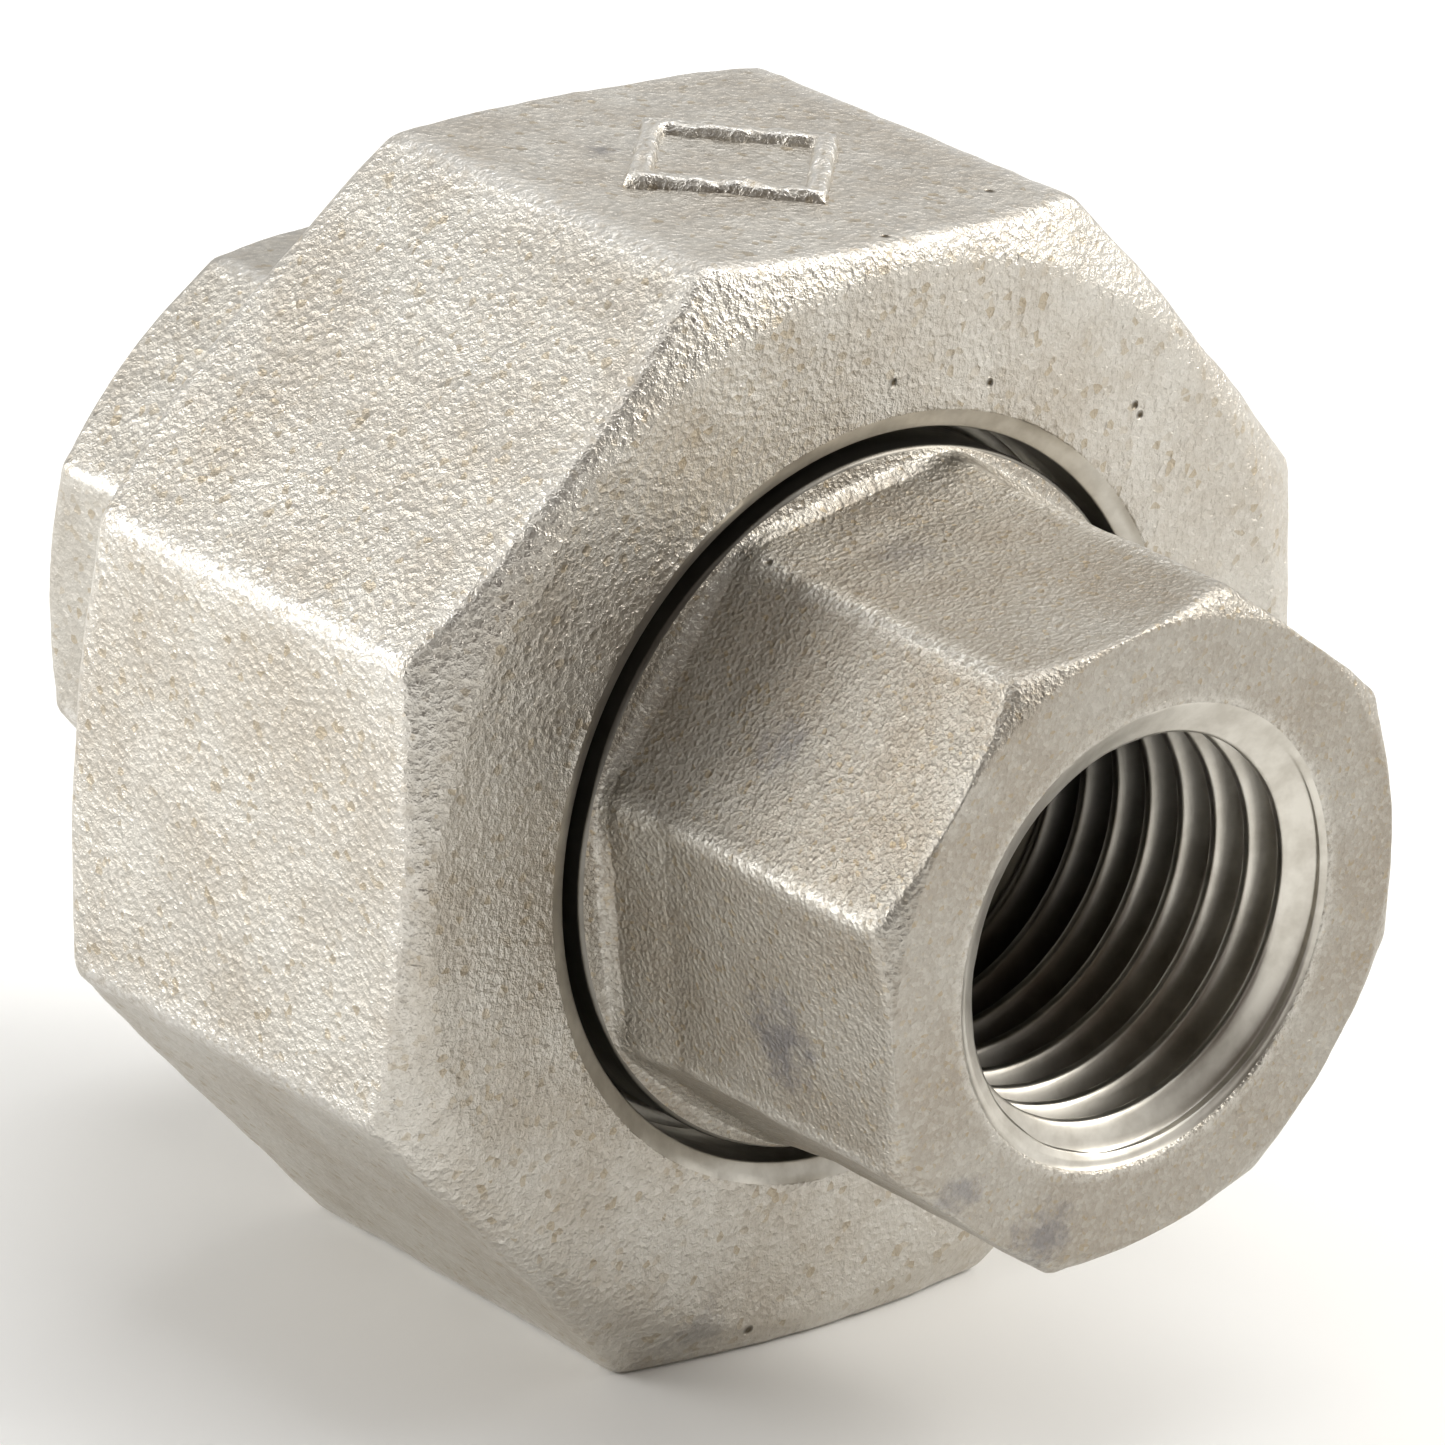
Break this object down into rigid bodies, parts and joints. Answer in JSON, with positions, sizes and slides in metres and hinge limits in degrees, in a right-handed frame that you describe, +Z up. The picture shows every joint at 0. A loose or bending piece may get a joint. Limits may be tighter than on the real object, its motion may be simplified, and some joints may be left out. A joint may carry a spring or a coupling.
{
  "type": "pipe union",
  "caption": "Cast steel pipe union: two internally threaded ends with octagonal wrench flats, drawn together on a flat ring gasket by a captive octagonal nut.",
  "frame": {"origin": "under the middle of the union's length, on the plane of the nut's bottom flat", "axes": "+Z up, Y along the pipe axis with the tailpiece to -Y and the threaded half to +Y, +X to the right seen from the tailpiece"},
  "size_m": [0.033, 0.0374, 0.0333],
  "materials": {
    "threaded_half_steel": "cast stainless steel, shot-blasted and pickled; turned seat and threads",
    "union_nut_steel": "cast stainless steel, shot-blasted and pickled; turned thread and lip",
    "tailpiece_steel": "cast stainless steel, shot-blasted and pickled; turned flange and threads",
    "gasket_ptfe": "white fluoropolymer ring, cut from sheet"
  },
  "bodies": {
    "threaded_half": {"threaded_half": "threaded_half_steel"},
    "gasket": {"gasket": "gasket_ptfe"},
    "tailpiece": {"tailpiece": "tailpiece_steel"},
    "union_nut": {"union_nut": "union_nut_steel"}
  },
  "joints": [
    {"name": "union_travel", "type": "slide", "parent": "threaded_half", "child": "gasket", "axis": [0, -1, 0], "range_m": [0, 0.0075]},
    {"name": "nut_spin", "type": "hinge", "parent": "gasket", "child": "union_nut", "pos_m": [0, 0, 0.0165], "axis": [0, -1, 0], "range_deg": [0, 1350]},
    {"name": "tailpiece_swivel", "type": "hinge", "parent": "gasket", "child": "tailpiece", "pos_m": [0, 0, 0.0165], "axis": [0, -1, 0], "continuous": true}
  ],
  "couplings": [
    {"joint": "union_travel", "follows": "nut_spin", "m_per_rad": 0.00031831}
  ]
}
